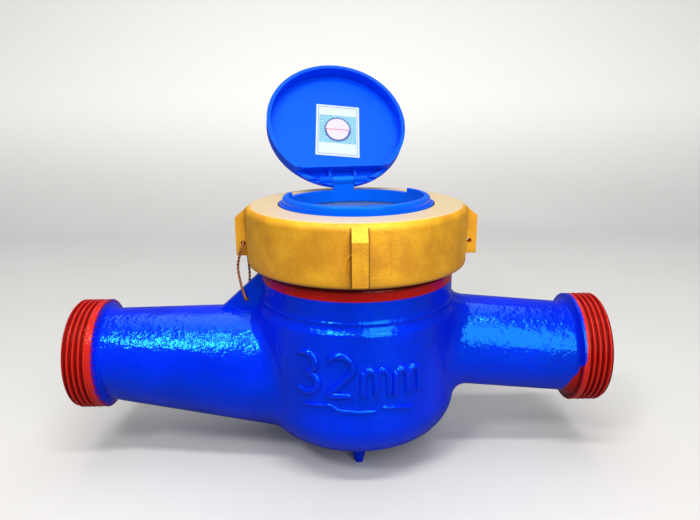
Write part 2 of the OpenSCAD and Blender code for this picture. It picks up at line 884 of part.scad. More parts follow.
// Cover ring, hinge pin and lid turn about the register axis together
module on_cover() {
    at_register() rotate([0, 0, cover_turn]) children();
}

// Pie-shaped space about the back, in which the cover ring's wall is lower
module back_sector(z) {
    a = back_half_angle;
    translate([0, 0, z])
        linear_extrude(height = big)
            polygon([[0, 0], big * [sin(a), cos(a)], [big, big], [-big, big], big * [-sin(a), cos(a)]]);
}

module cover_profile() {
    difference() {
        union() {
            band(cover_flange_r, cover_low, cover_low + cover_flange_t);
            band(cover_r, cover_low, brim_z);
            band(wall_out_r, cover_low, wall_top_z - wall_edge_r);
            band(wall_out_r - wall_edge_r, cover_low, wall_top_z);
            translate([wall_out_r - wall_edge_r, wall_top_z - wall_edge_r]) circle(wall_edge_r);
        }
        band(window_r, cover_low - join, wall_top_z + join);
    }
}

module cover_ring() {
    color(cover_blue)
        on_cover()
            difference() {
                union() {
                    difference() {
                        rotate_extrude() cover_profile();
                        back_sector(back_top_z);
                    }
                    translate([-barrel_half, hinge_reach - tongue_t / 2, brim_z - join])
                        cube([2 * barrel_half, tongue_t, hinge_z - brim_z + join]);
                    across(hinge_reach, hinge_z, -barrel_half, 2 * barrel_half, knuckle_r);
                }
                across(hinge_reach, hinge_z, -big / 2, big, pin_r);
            }
}

module hinge_pin() {
    color(steel) on_cover() across(hinge_reach, hinge_z, -knuckle_end, 2 * knuckle_end, pin_r);
}

module lid_profile() {
    band(lid_r, lid_low, lid_top - lid_edge_r);
    band(lid_r - lid_edge_r, lid_low, lid_top);
    translate([lid_r - lid_edge_r, lid_top - lid_edge_r]) circle(lid_edge_r);
}

module lid_shell() {
    difference() {
        rotate_extrude() lid_profile();
        translate([0, 0, lid_low - join]) cylinder(h = lid_floor_z - lid_low + join, r = lid_r - lid_wall);
        translate([-big / 2, chord_y, lid_trim_z - big]) cube(big);
    }
}

module lid_closed() {
    notch_half = barrel_half + knuckle_gap;
    difference() {
        union() {
            lid_shell();
            intersection() {
                translate([-big / 2, chord_y - chord_wall_t, chord_wall_z])
                    cube([big, chord_wall_t, lid_floor_z + 0.5 - chord_wall_z]);
                translate([0, 0, lid_low]) cylinder(h = lid_h, r = lid_r - lid_wall + 0.5);
            }
            for (side = [-1, 1]) {
                translate([side > 0 ? lid_rib_x[0] : -lid_rib_x[1], chord_y - 0.5, lid_trim_z])
                    cube([
                        lid_rib_x[1] - lid_rib_x[0], hinge_reach - chord_y, lid_floor_z + 0.5 - lid_trim_z
                    ]);
                across(hinge_reach, hinge_z, side > 0 ? notch_half : -knuckle_end, knuckle_end - notch_half,
                    knuckle_r);
            }
        }
        translate([-notch_half, notch_y, lid_low - join]) cube([2 * notch_half, big, lid_h + 2 * join]);
        across(hinge_reach, hinge_z, -big / 2, big, pin_r + run_gap);
    }
}

module lid() {
    color(cover_blue)
        on_cover()
            translate([0, hinge_reach, hinge_z])
                rotate([-lid_open, 0, 0])
                    translate([0, -hinge_reach, -hinge_z]) lid_closed();
}

body_casting();
strainer_basket();
chamber_gasket();
chamber_cup();
chamber_cover();
pivot_pin();
spindle_bush();
impeller();
register_base();
register_screws();
register_pillars();
register_bridge();
dial_plate();
idler(0);  // idler_1
idler(1);  // idler_2
idler(2);  // idler_3
idler(3);  // idler_4
pointer_arbor(0);  // pointer_arbor_1
pointer_arbor(1);  // pointer_arbor_2
pointer_arbor(2);  // pointer_arbor_3
pointer_arbor(3);  // pointer_arbor_4
flow_star();
pointer(0);  // pointer_1
pointer(1);  // pointer_2
pointer(2);  // pointer_3
pointer(3);  // pointer_4
roller_brackets();
roller_shaft();
number_roller(1);  // number_roller_1
number_roller(2);  // number_roller_2
number_roller(3);  // number_roller_3
number_roller(4);  // number_roller_4
number_roller(5);  // number_roller_5
carry_shaft();
carry_pinions();
glass_gasket();
sight_glass();
clamp_ring();
brass_ring();
seal_wire();
cover_ring();
hinge_pin();
lid();
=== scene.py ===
"""Looks of a multi-jet water meter, dressed over its CAD frame."""
import json
import math

import bmesh
import bpy
import numpy as np
from mathutils import Matrix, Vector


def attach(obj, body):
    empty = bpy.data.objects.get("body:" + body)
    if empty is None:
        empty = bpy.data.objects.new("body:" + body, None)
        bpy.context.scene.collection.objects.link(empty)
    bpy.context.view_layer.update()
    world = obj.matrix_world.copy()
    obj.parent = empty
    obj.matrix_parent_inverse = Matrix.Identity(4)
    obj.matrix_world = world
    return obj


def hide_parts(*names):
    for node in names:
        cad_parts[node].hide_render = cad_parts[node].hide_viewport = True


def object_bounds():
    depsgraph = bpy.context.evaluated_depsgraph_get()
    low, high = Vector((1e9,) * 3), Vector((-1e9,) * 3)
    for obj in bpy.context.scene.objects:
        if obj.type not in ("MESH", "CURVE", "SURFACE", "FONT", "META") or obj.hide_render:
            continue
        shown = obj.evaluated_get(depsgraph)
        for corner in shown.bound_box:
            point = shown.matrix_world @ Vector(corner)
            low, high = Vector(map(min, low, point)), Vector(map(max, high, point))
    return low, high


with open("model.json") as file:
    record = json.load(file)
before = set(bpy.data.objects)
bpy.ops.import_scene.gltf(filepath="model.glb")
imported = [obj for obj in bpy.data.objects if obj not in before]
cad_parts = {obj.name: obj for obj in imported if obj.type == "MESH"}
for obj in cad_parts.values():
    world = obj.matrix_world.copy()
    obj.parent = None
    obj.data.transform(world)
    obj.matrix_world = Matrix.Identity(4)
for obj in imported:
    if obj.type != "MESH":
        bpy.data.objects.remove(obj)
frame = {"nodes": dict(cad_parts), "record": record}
CAD_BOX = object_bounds()

bl_info = {
    "name": "Water meter",
    "version": (1, 0, 0),
    "blender": (4, 5, 0),
    "location": "View3D > Sidebar > Meter",
    "description": "Threads, castings, print and finishes of a water meter",
    "category": "Object",
}

MM = 0.001
TAU = 2 * math.pi

# Forms of the CAD solids that the pieces made here follow, in millimetres
AXIS_X = 123.0                                # register axis, from the inlet's end face
END_X = 230.0                                 # outlet's end face
BOWL_R = 43.4
BOWL_CORNER = (26.4, -16.0, 17.0)             # radius and height of the arc's centre, radius of the arc
NECK_R = 41.2
SHOULDER = (24.5, 2.2)                        # height of the bowl's top and the rounding of its edge
PIPE_R = 20.0
INLET_LINE = ((12.5, 0.0), (93.0, -6.8))      # x and z of the pipe's axis at the thread and in the bowl
INLET_ROOT_R = 27.75
OUTLET_LINE = ((217.5, 0.0), (158.0, 5.5))
THREAD_ZONE = (22.85, 12.51)                  # the plain thread lies outside this radius, this near to an end
RING_R = 46.6
HINGE = (30.2, 72.6)                          # y and z
COVER_TURN = math.radians(10)
LID_OPEN = math.radians(128)
DIAL_TOP = 52.0
POINTER_ANGLES = (-15, -65, -115, -165)
POINTER_RING = 17.5
ROLLER_AXIS = (13.5, 46.2)                    # y and z
ROLLER_R = 5.5
ROLLER_PITCH = 5.4

# Forms made here, in millimetres and degrees
THREAD_PLAIN = 10.2                           # where a pipe's thread has run out
THREAD_CHAMFER = 1.0
NECK_THREAD = (38.0, 54.5)                    # lowest and highest turn
NECK_PITCH = 2.0
NECK_RIDGE = 0.26
SINK = 0.06                                   # depth of a fillet's edges under the paint
LABEL = ((-7.8, -14.6), (21.2, 2.6), (-3.6, 29.4))    # first corner, then its width and height as steps
LABEL_Z = 74.08
LABEL_THICK = 0.1
PRINT_LIFT = 0.03
DIGIT_LIFT = 0.02
SMALL_CIRCLE = 4.4
WIRE_TWISTS = 56
WIRE_SIDES = 16
WIRE_REACH = 48.3                             # from the register axis to both holes
WIRE_LUG_Z = 50.4
WIRE_RIB_Z = 25.2
WIRE_ROUTE = (                                # outwards, sideways, and share of the drop from lug to rib
    (0, 3.6, 0), (0, 0, 0), (0, -3.6, 0), (-1.3, -4.2, .16), (-2.6, -4.2, .4), (-1.9, -4.2, .675),
    (-0.91, -4.2, .865), (0, -3.6, .996), (0, 0, 1), (0, 3.6, .996), (0.39, 4.2, .865),
    (0.91, 4.2, .635), (0.70, 4.2, .355), (0.21, 4.2, .14),
)
SIZE_MARK = (                                 # sign, angle and height of its corner, width, height, slope
    ("3", -36.0, -2.0, 26.0, 18.0, 0.03),
    ("2", -18.5, -2.0, 27.0, 18.0, 0.0),
    ("m", 0.5, -2.6, 16.5, 19.5, 0.0),
    ("m", 17.5, -3.0, 17.0, 19.0, 0.0),
)
MARK_STROKE = (3.0, 1.6)                      # width and height
FLOW_LINES = (                                # angle and height of each point
    ((-32.0, -7.0), (-24.0, -6.3), (-15.6, -5.6), (-10.4, -7.8), (0.0, -8.2), (9.2, -7.9)),
    ((10.5, -6.4), (20.0, -7.4), (29.8, -9.0)),
)
FLOW_STROKE = (2.0, 1.1)
CAST_MARKS = (                                # angle and height of each point, width and height of the stroke
    (((-2.3, 56.2), (-4.8, 54.7), (-5.8, 51.6), (-4.8, 48.7), (-2.7, 46.9)), (0.8, 0.45)),
    (((13.6, 62.6), (13.9, 55.3), (14.5, 47.0)), (0.6, 0.28)),
)

# Stage: camera in millimetres, the rest in metres and watts
CAMERA_PLACE = (116.27, -255.10, 109.74)
CAMERA_WAY = (0.01483, 0.96595, -0.25830)
CAMERA_ROLL = math.radians(-0.5)
FOCAL_SHARE = 606.0 / 700.0                   # focal length over the picture's width
SENSOR = 36.0
BACKDROP_BEND = (0.42, 0.35)                  # where the floor starts to bend up, and the bend's radius
LAMP_AIM = (0.12, 0.0, 0.02)
LAMPS = (                                     # name, place, power, width and depth
    ("key", (-0.30, -0.55, 0.75), 3.0, 0.18, 0.18),
    ("strip", (0.12, -0.28, 0.85), 4.5, 0.7, 0.09),
    ("window", (0.48, -0.74, 0.50), 5.2, 0.45, 0.9),
    ("wash", (0.12, 0.32, 1.0), 4.5, 1.0, 0.84),
)


def length(label, text, default):
    """Length property, its default given in millimetres."""
    return bpy.props.FloatProperty(name=label, description=text, default=default * MM, min=0.0, precision=5,
                                   unit="LENGTH")


def colour(label, default):
    """Colour property with a plain label."""
    return bpy.props.FloatVectorProperty(name=label, description=label + " as a linear colour", subtype="COLOR",
                                         size=3, min=0.0, max=1.0, default=default)


class MeterSizes(bpy.types.PropertyGroup):
    """Sizes of the pieces that are made here."""

    thread_r: length("Thread radius", "Over the crests", 23.9)
    thread_len: length("Thread length", "Of one threaded end", 12.5)
    thread_pitch: length("Thread pitch", "From crest to crest", 2.309)
    thread_depth: length("Thread depth", "From crest to root", 1.35)
    inlet_fillet: length("Inlet fillet", "Reach of the casting's fillet", 5.0)
    outlet_fillet: length("Outlet fillet", "Reach of the casting's fillet", 7.0)
    wire_r: length("Seal wire radius", "Of the copper wire", 0.55)


class MeterColours(bpy.types.PropertyGroup):
    """Colours of the finishes."""

    paint: colour("Body paint", (0.0004, 0.013, 0.70))
    thread_paint: colour("Thread paint", (0.44, 0.008, 0.005))
    brass: colour("Cast brass", (0.97, 0.41, 0.014))
    resin: colour("Cover resin", (0.0004, 0.058, 0.80))


class Val:
    """A shader socket; arithmetic on it adds Math nodes to its tree."""

    def __init__(self, look, socket):
        self.look = look
        self.socket = socket

    def math(self, operation, *others):
        return self.look.node("ShaderNodeMath", {"operation": operation}, dict(enumerate((self,) + others)))

    def __add__(self, other):
        return self.math("ADD", other)

    def __sub__(self, other):
        return self.math("SUBTRACT", other)

    def __mul__(self, other):
        return self.math("MULTIPLY", other)

    def __truediv__(self, other):
        return self.math("DIVIDE", other)

    def __rsub__(self, other):
        return self.look.node("ShaderNodeMath", {"operation": "SUBTRACT"}, {0: other, 1: self})

    __radd__ = __add__
    __rmul__ = __mul__

    def step(self, low, high):
        """0 below low, 1 above high, smooth between."""
        return self.look.node("ShaderNodeMapRange", {"interpolation_type": "SMOOTHSTEP"},
                              {"Value": self, "From Min": low, "From Max": high})

    def hypot(self, other):
        return (self * self + other * other).math("SQRT")


class Look:
    """Nodes of a new material or a given world; node() adds any node and returns one of its outputs as a Val."""

    def __init__(self, name, world=None):
        self.block = world or bpy.data.materials.new(name)
        self.block.use_nodes = True
        self.tree = self.block.node_tree
        self.bsdf = self.tree.nodes.get("Principled BSDF")

    def node(self, kind, settings, inputs, out=0):
        made = self.tree.nodes.new(kind)
        for key, value in settings.items():
            if key == "stops":
                ramp = made.color_ramp
                while len(ramp.elements) < len(value):
                    ramp.elements.new(0.5)
                for element, (place, shade) in zip(ramp.elements, value):
                    element.position = place
                    element.color = tuple(shade) + (1.0,)
            else:
                setattr(made, key, value)
        for key, value in inputs.items():
            self.feed(made.inputs[key], value)
        return Val(self, made.outputs[out])

    def feed(self, socket, value):
        if isinstance(value, Val):
            self.tree.links.new(value.socket, socket)
        else:
            socket.default_value = value

    def set(self, **values):
        for key, value in values.items():
            self.feed(self.bsdf.inputs[key.replace("_", " ")], value)

    def place(self):
        """Object coordinates, in metres."""
        return self.node("ShaderNodeTexCoord", {}, {}, "Object")

    def own_map(self):
        """The piece's own UV map."""
        return self.node("ShaderNodeTexCoord", {}, {}, "UV")

    def split(self, vector):
        first = self.node("ShaderNodeSeparateXYZ", {}, {0: vector})
        return [Val(self, out) for out in first.socket.node.outputs]

    def noise(self, where, scale, detail=3.0, rough=0.5):
        return self.node("ShaderNodeTexNoise", {}, {"Vector": where, "Scale": scale, "Detail": detail,
                                                    "Roughness": rough})

    def mix(self, factor, a, b):
        """Colour a where factor is 0, colour b where it is 1."""
        return self.node("ShaderNodeMix", {"data_type": "RGBA"}, {0: factor, 6: full(a), 7: full(b)}, 2)

    def mix_shaders(self, factor, a, b):
        """Shader a where factor is 0, shader b where it is 1."""
        return self.node("ShaderNodeMixShader", {}, {0: factor, 1: a, 2: b})

    def bump(self, height, strength, distance):
        return self.node("ShaderNodeBump", {}, {"Strength": strength, "Distance": distance, "Height": height})


def full(shade):
    """A colour with its fourth number."""
    return shade if isinstance(shade, Val) else tuple(shade)[:3] + (1.0,)


def scaled(shade, k):
    """A colour made k times as bright."""
    return tuple(min(1.0, c * k) for c in shade)


def paint_look(colours):
    """Glossy body paint: blue with orange peel, mixed with red over both threads and under the brass ring, with
    painted shade in the thread grooves and under the ring and painted light on the thread crests.
    """
    look = Look("gloss_paint")
    p = look.place()
    x, y, z = look.split(p)
    blue = tuple(colours.paint)
    red = tuple(colours.thread_paint)
    cloud = look.noise(p, 35.0, 4.0)
    peel = look.noise(p, 190.0, 3.0, 0.55) + look.noise(p, 650.0, 2.0) * 0.35
    skin = look.bump(peel, 0.42, 0.0011)
    pipe_r = y.hypot(z)
    radius = (x - AXIS_X * MM).hypot(y)

    bore = (1 - pipe_r.step(0.0161, 0.0163)) * (1 - radius.step(0.123, 0.1231))
    inside = (1 - radius.step(0.0372, 0.0375)) * z.step(-0.0270, -0.0265)
    raw = bore.math("MAXIMUM", inside)
    shade = look.mix(cloud.step(0.35, 0.75), scaled(blue, 0.80), scaled(blue, 1.15))
    shade = look.mix(look.noise(p, 700.0, 2.0).step(0.70, 0.76) * 0.35, shade, scaled(blue, 0.45))
    shade = look.mix(raw * 0.75, shade, (0.045, 0.06, 0.10))
    look.set(Base_Color=shade, Roughness=cloud * 0.08 + 0.13 + raw * 0.4, Normal=skin)
    look.set(Specular_Tint=(0.03, 0.72, 1.0, 1.0), Specular_IOR_Level=1.0)

    # The red ends raggedly at the inlet, and along a hand-brushed edge at the outlet
    ragged = look.noise(p, 900.0, 2.0) * 0.0022
    inlet_red = 1 - (x + ragged).step(0.0135, 0.0139)
    brushed = ((0.0, 0.16), (0.26, 0.16), (0.36, 0.28), (0.42, 0.42), (0.48, 0.44), (0.54, 0.60), (0.62, 0.62),
               (1.0, 0.66))
    wave = look.node("ShaderNodeValToRGB", {"stops": [(place, (grey,) * 3) for place, grey in brushed]},
                     {0: z / 0.052 + 0.5})
    outlet_red = (x - wave * 0.0105 + ragged * 0.5).step(0.2123, 0.2128)
    neck_red = z.step(0.0358, 0.0362) * (1 - radius.step(0.0418, 0.0422)) * radius.step(0.039, 0.0395)
    ends = inlet_red.math("MAXIMUM", outlet_red)
    # Painted shade: the thread's grooves are darkened
    groove_shade = (1 - pipe_r.step(0.0225, 0.0235)) * pipe_r.step(0.0215, 0.0219) * ends
    # Painted light: the thread's crests are lightened
    crest = pipe_r.step(0.0236, 0.02385) * ends
    reds = look.mix(cloud, scaled(red, 0.80), scaled(red, 1.15))
    reds = look.mix(groove_shade, reds, scaled(red, 0.32))
    reds = look.mix(crest * 0.5, reds, (0.62, 0.025, 0.014))
    # Painted shadow of the brass ring: the red neck band turns near black towards its top
    reds = look.mix(neck_red * z.step(0.0388, 0.0405), reds, scaled(red, 0.12))
    other = look.node("ShaderNodeBsdfPrincipled", {}, {
        "Base Color": reds, "Roughness": cloud * 0.08 + 0.16, "Normal": skin,
        "Specular Tint": (1.0, 0.35, 0.28, 1.0), "Specular IOR Level": 0.35})
    both = look.mix_shaders(ends.math("MAXIMUM", neck_red), Val(look, look.bsdf.outputs[0]), other)
    look.feed(look.tree.nodes["Material Output"].inputs[0], both)
    return look.block


def brass_look(colours):
    """Sand-cast brass: grained sides with dark specks and painted shade lines beside the lugs, and a paler turned
    top.
    """
    look = Look("sand_cast_brass")
    p = look.place()
    x, y, z = look.split(p)
    brass = tuple(colours.brass)
    away = x - AXIS_X * MM
    radius = away.hypot(y)
    top = z.step(0.0661, 0.0667) * (1 - radius.step(0.0442, 0.0452))
    grain = look.noise(p, 1700.0, 2.0, 0.6)
    cloud = look.noise(p, 70.0, 4.0, 0.6)
    shade = look.mix(cloud.step(0.32, 0.68), scaled(brass, 0.78), scaled(brass, 1.20))
    shade = look.mix(grain.step(0.52, 0.74) * 0.35, shade, scaled(brass, 0.42))
    shade = look.mix((1 - grain.step(0.28, 0.42)) * 0.40, shade, scaled(brass, 1.45))
    low = (1 - z.step(0.0425, 0.0475)) * cloud.step(0.35, 0.6) * 0.5
    shade = look.mix(low, shade, scaled(brass, 0.38))
    # Painted shade: dark lines down both sides of each lug
    beside = away.math("ABSOLUTE").math("MINIMUM", y.math("ABSOLUTE"))
    lug_side_shade = beside.step(0.0028, 0.0030) * (1 - beside.step(0.0031, 0.0041)) * radius.step(0.0461, 0.0463)
    lug_side_shade = lug_side_shade * (1 - radius.step(0.0470, 0.0480)) * (1 - z.step(0.0655, 0.0662))
    shade = look.mix(lug_side_shade * 0.75, shade, (0.10, 0.045, 0.008))
    centred = look.node("ShaderNodeVectorMath", {"operation": "SUBTRACT"}, {0: p, 1: (AXIS_X * MM, 0.0, 0.0)})
    turned = look.node("ShaderNodeTexWave", {"wave_type": "RINGS", "rings_direction": "Z"},
                       {"Vector": centred, "Scale": 420.0, "Distortion": 1.5, "Detail": 2.0})
    pale = look.mix(turned, (0.86, 0.64, 0.34), (0.96, 0.76, 0.46))
    shade = look.mix(top, shade, pale)
    side = grain * (1 - top) + turned * top * 0.08 + cloud * 0.3
    look.set(Base_Color=shade, Metallic=0.35 + top * 0.1, Roughness=0.46 - top * 0.12 + grain * 0.12,
             Normal=look.bump(side, 0.5, 0.0003))
    return look.block


def resin_look(name, shade, rough, bump=0.08, tint=(1.0, 1.0, 1.0, 1.0)):
    """Moulded plastic: slow colour drift, faint flow marks and a fine grain."""
    look = Look(name)
    p = look.place()
    drift = look.noise(p, 45.0, 3.0)
    fine = look.noise(p, 1500.0, 2.0)
    look.set(Base_Color=look.mix(drift, scaled(shade, 0.9), scaled(shade, 1.08)),
             Roughness=drift * 0.12 + rough, Normal=look.bump(fine + drift * 0.4, bump, 0.0005))
    look.set(Specular_Tint=tint)
    return look.block


def metal_look(name, shade, rough):
    """Turned or drawn metal with fine streaks."""
    look = Look(name)
    p = look.place()
    streak = look.noise(p, 900.0, 3.0, 0.65)
    cloud = look.noise(p, 90.0, 2.0)
    look.set(Base_Color=look.mix(streak, scaled(shade, 0.78), scaled(shade, 1.12)), Metallic=0.95,
             Roughness=streak * 0.15 + rough + cloud * 0.08, Normal=look.bump(streak, 0.12, 0.0004))
    return look.block


def glass_look():
    """Thick pale green glass with a faintly uneven pressed face."""
    look = Look("sight_glass")
    ripple = look.noise(look.place(), 70.0, 2.0)
    look.set(Base_Color=look.mix(ripple, (0.72, 0.93, 0.90), (0.80, 0.96, 0.93)), Roughness=ripple * 0.05 + 0.02,
             Normal=look.bump(ripple, 0.05, 0.0006))
    look.set(Transmission_Weight=0.9, IOR=1.5)
    return look.block


def label_look():
    """Label: white card, thin dark frame, pale blue field of wavy rings and an empty round stamp."""
    look = Look("label_print")
    uv = look.own_map()
    u, v, _ = look.split(uv)
    du = (u - 0.5).math("ABSOLUTE")
    dv = (v - 0.5).math("ABSOLUTE")
    field = (1 - du.step(0.425, 0.430)) * v.step(0.245, 0.25) * (1 - v.step(0.795, 0.80))
    sides = du.step(0.440, 0.445) * (1 - du.step(0.455, 0.460)) * (1 - dv.step(0.46, 0.465))
    ends = dv.step(0.455, 0.46) * (1 - dv.step(0.468, 0.472)) * (1 - du.step(0.455, 0.46))
    ring_r = ((u - 0.5) * 0.78).hypot(v - 0.52)
    waves = look.node("ShaderNodeTexWave", {"wave_type": "RINGS", "rings_direction": "Z"},
                      {"Vector": uv, "Scale": 7.0, "Distortion": 6.0, "Detail": 1.0, "Detail Scale": 1.2})
    shade = look.mix(field, (0.43, 0.51, 0.60), look.mix(waves, (0.03, 0.27, 0.40), (0.22, 0.42, 0.50)))
    disc = 1 - ring_r.step(0.236, 0.243)
    shade = look.mix(disc, shade, (0.005, 0.03, 0.24))
    inner = 1 - (ring_r + (1 - v.step(0.50, 0.54)) * 0.016).step(0.212, 0.219)
    shade = look.mix(inner, shade, (0.48, 0.44, 0.50))
    line = (v - 0.52).math("ABSOLUTE")
    shade = look.mix((1 - line.step(0.006, 0.009)) * inner, shade, (0.45, 0.05, 0.14))
    shade = look.mix(sides + ends, shade, (0.10, 0.16, 0.34))
    look.set(Base_Color=shade, Roughness=0.35 + waves * 0.1)
    return look.block


def print_look(name, shade):
    """Printing ink with slight unevenness."""
    look = Look(name)
    fleck = look.noise(look.place(), 1800.0, 2.0)
    look.set(Base_Color=look.mix(fleck, shade, scaled(shade, 1.5)), Roughness=fleck * 0.1 + 0.5)
    return look.block


def dial_look():
    """White dial with a pale blue rim."""
    look = Look("dial_face")
    p = look.place()
    x, y, _ = look.split(p)
    rim = (x - AXIS_X * MM).hypot(y).step(0.0268, 0.0270)
    fleck = look.noise(p, 900.0, 2.0)
    white = look.mix(fleck, (0.86, 0.87, 0.86), (0.92, 0.92, 0.91))
    look.set(Base_Color=look.mix(rim, white, (0.55, 0.74, 0.84)), Roughness=fleck * 0.1 + 0.4)
    return look.block


def wire_look():
    """Twisted copper wire, browned in patches, with painted shade between the strands; the strands follow the
    wire's own map.
    """
    look = Look("copper_wire")
    u, v, _ = look.split(look.own_map())
    lay = 0.5 - ((v * 2.0 - u * float(WIRE_TWISTS)) * TAU).math("COSINE") * 0.5
    patch = look.noise(look.place(), 160.0, 3.0)
    shade = look.mix(patch.step(0.40, 0.65), (0.80, 0.32, 0.09), (0.42, 0.14, 0.05))
    # Painted shade: darker between the strands
    look.set(Base_Color=look.mix(lay * 0.6, shade, (0.10, 0.03, 0.015)), Metallic=0.45,
             Roughness=patch * 0.2 + 0.32, Normal=look.bump(lay, 0.6, 0.0004))
    return look.block


def floor_look():
    """Pale floor and paler wall to the camera, both dim to mirrored and bounced light, so colours stay deep."""
    look = Look("pale_floor")
    p = look.place()
    wall = look.split(p)[2].step(-0.04, 0.12)
    cloud = look.noise(p, 9.0, 4.0)
    pale = look.mix(cloud, (0.57, 0.555, 0.53), (0.62, 0.605, 0.58))
    pale = look.mix(wall, pale, (0.84, 0.82, 0.78))
    mirrored = look.node("ShaderNodeLightPath", {}, {}, "Is Glossy Ray")
    direct = look.node("ShaderNodeLightPath", {}, {}, "Is Camera Ray")
    unseen = look.mix(mirrored, (0.26, 0.26, 0.27), (0.12, 0.13, 0.15))
    look.set(Base_Color=look.mix(direct, unseen, pale), Roughness=0.6)
    return look.block


def piece(name, verts, faces, material, body, uv=None, smooth=True, sharp=None):
    """Mesh object from vertices in millimetres and quads, welded, riding on a body."""
    mesh = bpy.data.meshes.new(name)
    mesh.from_pydata((np.asarray(verts, float).reshape(-1, 3) * MM).tolist(), [], np.asarray(faces).tolist())
    if uv is not None:
        layer = mesh.uv_layers.new(name="map")
        index = np.zeros(len(mesh.loops), np.int32)
        mesh.loops.foreach_get("vertex_index", index)
        layer.data.foreach_set("uv", np.asarray(uv, np.float32)[index].ravel())
    work = bmesh.new()
    work.from_mesh(mesh)
    bmesh.ops.remove_doubles(work, verts=work.verts, dist=1e-7)
    bmesh.ops.dissolve_degenerate(work, edges=work.edges, dist=1e-8)
    work.to_mesh(mesh)
    work.free()
    mesh.polygons.foreach_set("use_smooth", np.full(len(mesh.polygons), smooth))
    if sharp:
        mesh.set_sharp_from_angle(angle=math.radians(sharp))
    mesh.materials.append(material)
    made = bpy.data.objects.new(name, mesh)
    bpy.context.scene.collection.objects.link(made)
    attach(made, body)
    return made


def finish(node, material):
    """Gives a CAD node its material."""
    slots = frame["nodes"][node].data.materials
    slots.clear()
    slots.append(material)


def unit(vectors):
    """The vectors along the last axis, each made one long."""
    return vectors / np.linalg.norm(vectors, axis=-1, keepdims=True)


def quads(rows, cols, wrap_rows=False, wrap_cols=False, flip=False):
    """Quad indices of a grid of points, row by row, closed along either way if asked."""
    index = np.arange(rows * cols).reshape(rows, cols)
    if wrap_rows:
        index = np.vstack([index, index[:1]])
    if wrap_cols:
        index = np.hstack([index, index[:, :1]])
    a, b, c, d = index[:-1, :-1], index[1:, :-1], index[1:, 1:], index[:-1, 1:]
    faces = np.stack([a, b, c, d], -1).reshape(-1, 4)
    return faces[:, ::-1] if flip else faces


def joined(parts):
    """Vertices and quads of several (vertices, quads) pairs as one."""
    bases = np.cumsum([0] + [len(verts) for verts, _ in parts[:-1]])
    return (np.vstack([verts for verts, _ in parts]),
            np.vstack([faces + base for (_, faces), base in zip(parts, bases)]))


def bowl_radius(z):
    """Radius of the bowl and neck at height z: neck, quarter-round shoulder, side, then the corner's arc."""
    top, edge = SHOULDER
    cx, cz, cr = BOWL_CORNER
    rounding = NECK_R + np.sqrt(np.clip(edge ** 2 - (z - top + edge) ** 2, 0, None))
    side = np.where(z > top - edge, rounding, BOWL_R)
    corner = cx + np.sqrt(np.clip(cr ** 2 - (z - cz) ** 2, 0, None))
    return np.where(z > top, NECK_R, np.where(z < cz, corner, side))


def bowl_normal(points):
    """Outward direction from the register axis, tipped down where the bowl's corner turns under."""
    cx, cz, _ = BOWL_CORNER
    z = points[:, 2:]
    out = points[:, :2] - (AXIS_X, 0.0)
    out = out - unit(out) * np.where(z < cz, cx, 0.0)
    return unit(np.hstack([out, np.minimum(z - cz, 0.0)]))


def round_axis(r, turn, z):
    """Points at a radius from the register axis, an angle in degrees from the front and a height."""
    a = np.radians(turn)
    return np.stack([AXIS_X + r * np.sin(a), -r * np.cos(a), z], -1)


def body_shell():
    """The CAD body, welded, without the plain cylinders and chamfers of its two threads."""
    mesh = frame["nodes"]["body_casting"].data.copy()
    mesh.name = "body_shell"
    places = np.zeros(3 * len(mesh.vertices))
    mesh.vertices.foreach_get("co", places)
    x, y, z = places.reshape(-1, 3).T / MM
    corners = np.zeros(len(mesh.loops), np.int32)
    mesh.loops.foreach_get("vertex_index", corners)
    starts = np.zeros(len(mesh.polygons), np.int32)
    mesh.polygons.foreach_get("loop_start", starts)
    inner, near = THREAD_ZONE
    from_end = np.minimum(x, END_X - x)
    in_zone = (np.hypot(y, z) > inner) & (from_end < near)
    of_thread = np.logical_and.reduceat(in_zone[corners], starts)
    on_end = np.logical_and.reduceat((from_end < 0.01)[corners], starts)
    work = bmesh.new()
    work.from_mesh(mesh)
    work.faces.ensure_lookup_table()
    drop = [work.faces[i] for i in np.flatnonzero(of_thread & ~on_end)]
    bmesh.ops.delete(work, geom=drop, context="FACES")
    bmesh.ops.remove_doubles(work, verts=work.verts, dist=1e-7)
    work.to_mesh(mesh)
    work.free()
    if "custom_normal" in mesh.attributes:
        mesh.attributes.remove(mesh.attributes["custom_normal"])
    mesh.polygons.foreach_set("use_smooth", np.full(len(mesh.polygons), True))
    mesh.set_sharp_from_angle(angle=math.radians(28))
    return mesh


def thread_surface(crest, depth, pitch, end):
    """Screw surface round X: the radius is a flattened cosine of x / pitch less the turn, chamfered at the free
    end and plain behind the last turn."""
    flank, start, run_out, relief = 1.7, 0.35, 0.8, 0.1
    x = np.linspace(0, end, 150)[:, None]
    turn = np.linspace(0, TAU, 193)[:-1]
    wave = np.tanh(flank * np.cos(TAU * (x / pitch - start) - turn)) / np.tanh(flank)
    fade = np.clip((THREAD_PLAIN - x) / run_out, 0, 1)
    r = fade * (crest - depth * 0.5 * (1 - wave)) + (1 - fade) * (crest - relief)
    r = np.minimum(r, crest - THREAD_CHAMFER + x)
    r[0] = crest - THREAD_CHAMFER
    r[-1] = crest
    points = np.stack([x + 0 * turn, r * np.sin(turn), r * np.cos(turn)], -1)
    return points.reshape(-1, 3), quads(len(x), len(turn), wrap_cols=True)


